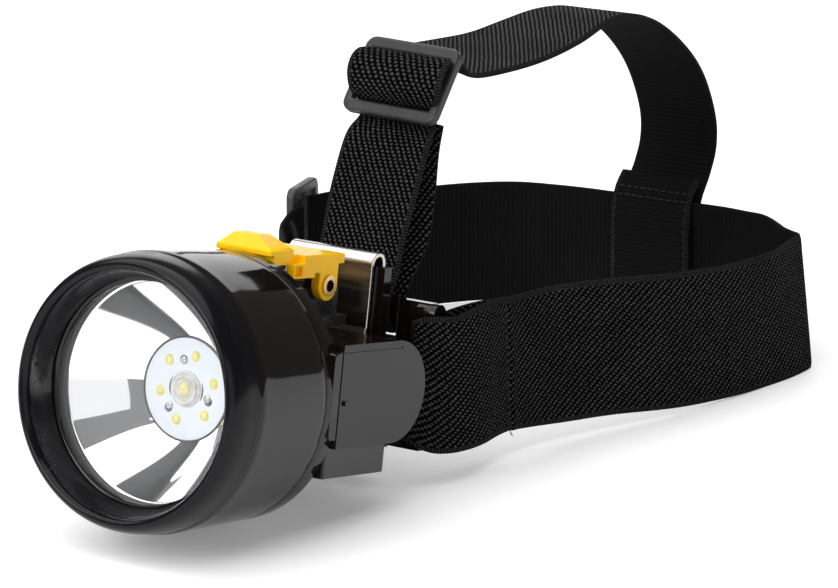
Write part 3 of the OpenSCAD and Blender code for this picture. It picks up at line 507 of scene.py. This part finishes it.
TOP_ROUTE = [
  [-2.6, 106.2, 46.6, 1, -0.02, 0], [-2, 101.4, 40.4, 1, 0.14, 0], [-0.3, 95.2, 29.4, 0.96, 0.36, 0], [1.2, 89.8, 19.4, 0.96, 0.4, 0],
  [1.4, 84.4, 11.4, 0.98, 0.2, 0], [1.4, 82.6, 6, 1, 0, 0], [1.4, 82, 2, 1, 0, 0], [1.4, 79.6, -0.4, 1, 0, 0], [1.4, 77.2, 1.2, 1, 0, 0],
  [1.4, 76.2, 5, 1, 0, 0], [1.4, 77.6, 9.6, 1, 0, 0], [1.4, 82.2, 14.4, 0.98, 0.2, 0], [1.3, 87.6, 20.3, 0.98, 0.4, 0],
  [0.2, 92.9, 30.2, 0.98, 0.36, 0], [-2, 99.6, 42.2, 1, 0.06, 0], [-2.8, 103.9, 46.1, 0.99, -0.1, 0], [-2.9, 104.8, 48.4, 0.99, -0.1, 0],
  [-3.1, 105.1, 50.7, 0.99, -0.1, 0], [-3.2, 104.1, 52.9, 0.99, -0.1, 0], [-3.4, 103, 55.4, 0.99, -0.1, 0], [-3.5, 103.2, 57.9, 0.99, -0.1, 0],
  [-3.5, 104.5, 59.7, 0.99, -0.1, 0], [-3.5, 106.5, 60.6, 0.99, -0.1, 0], [-3.5, 108.9, 60.4, 0.99, -0.1, 0], [-3.5, 111.5, 60.4, 0.99, -0.1, 0],
  [-3.5, 113.6, 61.5, 0.99, -0.1, 0], [-3.6, 115.4, 62.6, 0.99, -0.1, -0.04], [-3.7, 118.6, 60.8, 0.98, -0.1, -0.1],
  [-3.9, 124, 58.6, 0.97, -0.08, -0.2], [-4.9, 140.5, 57.2, 0.97, -0.05, -0.2], [-6.4, 160, 56.3, 0.98, -0.02, -0.17], [-7.8, 178, 57, 0.99, 0, -0.12],
  [-9.2, 197, 58.6, 1, 0, 0], [-10, 212, 56.8, 1, 0, 0], [-11, 226, 51.6, 1, 0, 0], [-12, 240, 43, 1, 0, 0], [-12.6, 250, 33.4, 1, 0, 0],
  [-13, 257, 21, 1, 0, 0], [-13, 257.8, 12, 1, 0, 0], [-13, 254.6, 4.6, 1, 0, 0], [-13, 250.2, -1.4, 1, 0.02, 0], [-13, 248, -8, 1, 0.03, 0],
  [-13, 247.5, -22, 1, 0.04, 0], [-13, 247.4, -33, 1, 0.04, 0], [-13, 246.8, -36, 1, 0.04, 0], [-13, 245.2, -36.7, 1, 0.04, 0],
  [-13, 243.8, -35.8, 1, 0.04, 0], [-13, 243.2, -33, 1, 0.04, 0], [-13, 243.1, -20, 1, 0.04, 0], [-13, 243.2, -8, 1, 0.04, 0],
  [-13, 244.8, -0.8, 1, 0.02, 0], [-13, 248.6, 3.6, 1, 0, 0]]

# the seen layers of the top strap: the front one hangs flatter, and the roll over the middle bar is fuller
TWEAK = {11: (1.2, 81.0, 14.4, 0.99, 0.02, 0), 12: (0.3, 84.6, 20.6, 0.98, 0.02, 0), 13: (-0.9, 90.6, 30.4, 0.98, 0.10, 0), 14: (-2.2, 98.8, 42.4, 1.0, 0.05, 0),
         17: (-3.2, 104.9, 50.4, 1.02, -0.1, 0), 18: (-3.2, 103.2, 52.4, 1.09, -0.1, 0), 19: (-1.9, 101.2, 55.2, 1.18, -0.1, 0), 20: (-1.5, 100.8, 59.0, 1.21, -0.1, 0), 21: (-1.4, 102.6, 62.0, 1.22, -0.1, 0), 22: (-1.6, 105.8, 63.4, 1.19, -0.1, 0), 23: (-2.6, 109.4, 62.4, 1.08, -0.1, 0)}
for i, q in TWEAK.items():
    TOP_ROUTE[i] = list(q)
# the near fold of the head strap stands a little taller in front of the crossbar
for q in HEAD_ROUTE:
    if (q[0], q[1]) == (21.4, 74.2):
        q[2], q[5] = -10.9, 0.80
    elif (q[0], q[1]) == (23.6, 73.0):
        q[2], q[5] = -10.4, 0.84
    elif (q[0], q[1]) == (25.9, 73.6):
        q[2], q[5] = -10.7, 0.90
    elif (q[0], q[1]) == (28.5, 76.0):
        q[2], q[5] = -11.4, 0.94

def smooth_route(p, n):
    out = []
    L = len(p)
    for i in range(L - 1):
        a, b, c, d = p[max(i - 1, 0)], p[i], p[i + 1], p[min(i + 2, L - 1)]
        for k in range(n):
            t = k / n
            out.append([0.5 * (2 * b[j] + (c[j] - a[j]) * t + (2 * a[j] - 5 * b[j] + 4 * c[j] - d[j]) * t * t + (3 * b[j] - a[j] - 3 * c[j] + d[j]) * t ** 3) for j in range(6)])
    out.append(list(p[-1]))
    return out

def resample(s, step):
    acc = [0.0]
    for i in range(1, len(s)):
        acc.append(acc[-1] + (Vector(s[i][:3]) - Vector(s[i - 1][:3])).length)
    total = acc[-1]
    n = max(8, int(total / step))
    out, j = [], 0
    for k in range(n + 1):
        d = total * k / n
        while j < len(acc) - 2 and acc[j + 1] < d:
            j += 1
        f = (d - acc[j]) / max(1e-9, acc[j + 1] - acc[j])
        out.append([s[j][i] + (s[j + 1][i] - s[j][i]) * f for i in range(6)])
    return out, total

def strap(name, route, width, thick, step, cols, outer_sign, shape=None, mats=None, pick=None):
    """woven ribbon with rounded selvedges; u across and v along in millimetres"""
    s, total = resample(smooth_route(route, 8), step)
    n = len(s)
    rows = []
    half = width / 2
    # ring of the cross-section: across the outer face, round the edge, back across the inner face
    us = [-1 + 2 * i / cols for i in range(cols + 1)]
    def prof(u):
        e = max(0.0, abs(u) - (1 - 1.6 / half)) / (1.6 / half)
        return 1.0 - 0.35 * e ** 3
    ring = [(u, +0.5 * prof(u)) for u in us] + [(1.0 + 0.012, 0.0)] + [(u, -0.5 * prof(u)) for u in reversed(us)] + [(-1.0 - 0.012, 0.0)]
    m = len(ring)
    verts, faces, fm, uvs = [], [], [], []
    vals = []
    for i in range(n):
        a = Vector(s[max(i - 1, 0)][:3]); b = Vector(s[min(i + 1, n - 1)][:3])
        t = (b - a).normalized()
        w = Vector(s[i][3:])
        nrm = t.cross(w).normalized() * outer_sign
        v = total * i / (n - 1)
        vals.append(v)
        for u, h in ring:
            extra = shape(u, v, total) if shape else 0.0
            p = Vector(s[i][:3]) + w * (u * half) + nrm * (h * thick + extra)
            verts.append(W2R(*p))
    nr = 2 * cols + 4
    for i in range(n - 1):
        for k in range(m):
            j = (k + 1) % m
            faces.append((i * m + k, i * m + j, (i + 1) * m + j, (i + 1) * m + k))
            ua, ub = ring[k][0] * half, ring[j][0] * half
            uvs.append(((ua, vals[i]), (ub, vals[i]), (ub, vals[i + 1]), (ua, vals[i + 1])))
            mid = 0.5 * (abs(ring[k][0]) + abs(ring[j][0]))
            vm = 0.5 * (vals[i] + vals[i + 1])
            if k < cols:
                if mid > 1 - 1.5 / half:
                    fm.append(2)
                else:
                    fm.append(pick(vm, 1) if pick else 0)
            elif k <= cols + 1 or k >= m - 2:
                fm.append(2)
            else:
                fm.append(pick(vm, -1) if pick else 1)
    for base, rev in ((0, True), ((n - 1) * m, False)):
        for k in range(cols):
            q = (base + k, base + k + 1, base + m - 2 - k - 1, base + m - 2 - k)
            # ring order: 0..cols outer, cols+1 edge, cols+2 .. 2cols+2 inner (reversed), last edge
            q = (base + k, base + k + 1, base + (2 * cols + 2) - (k + 1), base + (2 * cols + 2) - k)
            faces.append(tuple(reversed(q)) if rev else q)
            fm.append(2)
            uvs.append(((0, 0), (1, 0), (1, 1), (0, 1)))
        e1 = (base + cols, base + cols + 1, base + cols + 2)
        e2 = (base + 2 * cols + 2, base + 2 * cols + 3, base)
        for e in (e1, e2):
            faces.append(tuple(reversed(e)) if rev else e)
            fm.append(2)
            uvs.append(((0, 0), (1, 0), (1, 1)))
    o = new_obj(name, verts, faces, mats or [WEB, WEB_IN, WEB_EDGE, WEB_RIB], True, fm, uvs)
    bm = bmesh.new(); bm.from_mesh(o.data)
    bmesh.ops.recalc_face_normals(bm, faces=bm.faces)
    bm.to_mesh(o.data); bm.free()
    sharp(o, 60)
    return o, s, total

def run_at(route, test):
    """length along a route to the point where test() is smallest"""
    rows, total = resample(smooth_route(route, 8), 0.5)
    best = min(range(len(rows)), key=lambda i: test(rows[i]))
    return total * best / (len(rows) - 1)
V_SEAM = run_at(HEAD_ROUTE, lambda q: abs(q[1] - 105.5) + (0 if q[0] > 28.6 else 99) + (99 if q[1] > 125 else 0))
V_BAR = run_at(HEAD_ROUTE, lambda q: abs(q[1] - 73.0) + abs(q[0] - 23.6))
def head_shape(u, v, total):
    # gentle waviness and cupping of slack elastic, with a dent along the sewn seam
    e = 0.10 * math.sin(v * 0.11 + 1.3 * u) + 0.06 * math.sin(v * 0.29 + 2.1) * u
    d = v - (V_SEAM - 1.3 * u)
    e -= 0.55 * math.exp(-(d / 0.8) ** 2)
    e += 0.35 * math.exp(-((d - 1.9) / 1.3) ** 2)
    return e
def top_shape(u, v, total):
    return 0.08 * math.sin(v * 0.13 + 1.1 * u)
def head_pick(v, side):
    if v < V_BAR:
        return 1 if side > 0 else 0
    return 0 if side > 0 else 1
def top_pick(v, side):
    if v < 54:
        return 0 if side < 0 else 1
    if side < 0:
        return 1
    if 138 < v < 268:
        return 3
    if v > 361:
        return 1
    return 0
HEAD_W, TOP_W = 36.5, 25.0
head, head_s, head_len = strap("head_strap_webbing", HEAD_ROUTE, HEAD_W, 1.4, 1.0, 28, 1, head_shape, pick=head_pick)
top, top_s, top_len = strap("top_strap_webbing", TOP_ROUTE, TOP_W, 1.3, 1.2, 22, -1, top_shape, mats=[WEB_TOP, WEB_IN, WEB_EDGE, WEB_RIB], pick=top_pick)
print("STRAP LENGTHS", round(head_len, 1), round(top_len, 1), round(V_SEAM, 1))

def on_strap(S, total, width, thick, sign, shape, u, v, side, lift):
    """a point on a strap's face and its normal, in level millimetres"""
    f = max(0.0, min(1.0, v / total)) * (len(S) - 1)
    i = min(int(f), len(S) - 2)
    g = f - i
    q = [S[i][j] + (S[i + 1][j] - S[i][j]) * g for j in range(6)]
    t = (Vector(S[i + 1][:3]) - Vector(S[i][:3])).normalized()
    w = Vector(q[3:])
    n = t.cross(w).normalized() * sign
    return Vector(q[:3]) + w * (u * width / 2) + n * (shape(u, v, total) + side * (0.5 * thick + lift)), n * side
def thread(verts, faces, pts, r, seg=6):
    o0 = len(verts)
    for i, c in enumerate(pts):
        t = (pts[min(i + 1, len(pts) - 1)] - pts[max(i - 1, 0)]).normalized()
        a = t.cross(Vector((0.3, 0.2, 0.93))).normalized()
        b = t.cross(a).normalized()
        rr = r * (0.55 if i in (0, len(pts) - 1) else 1.0)
        for k in range(seg):
            an = 2 * math.pi * k / seg
            verts.append(W2R(*(c + a * (rr * math.cos(an)) + b * (rr * math.sin(an)))))
    for i in range(len(pts) - 1):
        for k in range(seg):
            k2 = (k + 1) % seg
            faces.append((o0 + i * seg + k, o0 + i * seg + k2, o0 + (i + 1) * seg + k2, o0 + (i + 1) * seg + k))
    faces.append(tuple(o0 + k for k in reversed(range(seg))))
    faces.append(tuple(o0 + (len(pts) - 1) * seg + k for k in range(seg)))
def stitches(name, args, side, rows, pitch=2.1, length=1.5, r=0.17):
    """rows of separate stitches; each row is ((u, v) start, (u, v) end), u from -1 to 1 and v in millimetres"""
    verts, faces = [], []
    width = args[2]
    for (u0, v0), (u1, v1) in rows:
        L = math.hypot((u1 - u0) * width / 2, v1 - v0)
        n = max(2, int(L / pitch))
        for k in range(n):
            pts = []
            jit = random.uniform(-0.08, 0.08)
            for m, up in ((0, -0.12), (0.2, 0.10), (0.5, 0.16), (0.8, 0.10), (1, -0.12)):
                f = (k + 0.15 + m * length / pitch) / n
                u = u0 + (u1 - u0) * f
                v = v0 + (v1 - v0) * f + jit
                pts.append(on_strap(*args, u, v, side, up)[0])
            thread(verts, faces, pts, r)
    o = new_obj(name, verts, faces, [MAT["thread"]])
    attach(o, "headband")
    return o
HA = (head_s, head_len, HEAD_W, 1.4, 1, head_shape)
TA = (top_s, top_len, TOP_W, 1.3, -1, top_shape)
stitches("seam_near_band", HA, 1, [((-0.93, V_SEAM + 1.2), (0.93, V_SEAM - 1.2))], r=0.15)
stitches("seam_near_band_inner", HA, -1, [((-0.93, V_SEAM + 1.2), (0.93, V_SEAM - 1.2)), ((-0.93, V_SEAM + 4.2), (0.93, V_SEAM + 1.8))])
stitches("seam_far_band_end", HA, 1, [((-0.9, head_len - 4), (0.9, head_len - 4)), ((-0.9, head_len - 7), (0.9, head_len - 7))])
stitches("hem_top_strap", TA, 1, [((-0.9, top_len - 5.0), (0.9, top_len - 5.0)), ((-0.9, top_len - 7.2), (0.9, top_len - 7.2)), ((-0.9, 364), (-0.9, top_len - 8)), ((0.9, 364), (0.9, top_len - 8))])
stitches("hem_top_tail", TA, -1, [((-0.9, 3.0), (0.9, 3.0)), ((-0.9, 5.2), (0.9, 5.2))])
tv, tf = [], []
base = on_strap(*HA, -1.0, V_SEAM + 1.2, 1, 0.1)[0]
thread(tv, tf, [base, base + Vector((0.4, -0.1, -0.5)), base + Vector((0.5, 0.1, -1.0)), base + Vector((0.9, 0.3, -1.3))], 0.16)
loose = new_obj("loose_thread", tv, tf, [MAT["thread"]])
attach(loose, "headband")
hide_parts("head_strap"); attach(head, "headband")
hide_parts("top_strap"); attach(top, "headband")

# ---------------------------------------------------------------- floor and light
def floor_piece():
    me = bpy.data.meshes.new("floor")
    me.from_pydata([(-6, -6, 0), (6, -6, 0), (6, 8, 0), (-6, 8, 0)], [], [(0, 1, 2, 3)])
    o = bpy.data.objects.new("floor", me)
    bpy.context.scene.collection.objects.link(o)
    k = M("floor_white", (0.94, 0.94, 0.945), 0.6, Specular_IOR_Level=0.3)
    k.set("Emission Color", (1.0, 1.0, 1.0, 1))
    k.set("Emission Strength", 0.2)
    g = k.noise(k.coord(), 400, 3, 0.6)
    k.l(k.mixc(k.maprange(g, 0.3, 0.7, 0, 1), (0.945, 0.945, 0.95), (0.93, 0.93, 0.935)), k.b.inputs["Base Color"])
    assign(o, k.m)
floor_piece()

world = bpy.data.worlds.new("world")
bpy.context.scene.world = world
world.use_nodes = True
world.node_tree.nodes["Background"].inputs[0].default_value = (1, 1, 1, 1)
world.node_tree.nodes["Background"].inputs[1].default_value = 0.16

def aim(o, loc, target):
    o.location = loc
    o.rotation_euler = (Vector(target) - Vector(loc)).to_track_quat('-Z', 'Y').to_euler()
    bpy.context.scene.collection.objects.link(o)
def area(name, loc, target, size, power, size_y=None, color=(1, 1, 1)):
    d = bpy.data.lights.new(name, 'AREA')
    d.energy = power
    d.color = color
    d.size = size
    if size_y:
        d.shape = 'RECTANGLE'
        d.size_y = size_y
    o = bpy.data.objects.new(name, d)
    aim(o, loc, target)
    return o
def sun(name, loc, strength, angle):
    d = bpy.data.lights.new(name, 'SUN')
    d.energy = strength
    d.angle = math.radians(angle)
    o = bpy.data.objects.new(name, d)
    aim(o, loc, (0, 0, 0))
    return o
sun("sky_box", (-0.22, -0.12, 1.0), 2.95, 84)
area("front_box", (-0.30, -1.50, 0.80), (0, -0.12, 0.05), 0.95, 12.2, 0.75)
area("right_front_box", (1.45, -1.0, 0.50), (0, -0.1, 0.05), 1.7, 4.6, 1.05)
area("back_box", (-1.0, 1.7, 0.62), (0, 0, 0.05), 1.8, 7.0, 0.9)
bpy.context.scene.view_settings.view_transform = 'Standard'
bpy.context.scene.view_settings.look = 'None'
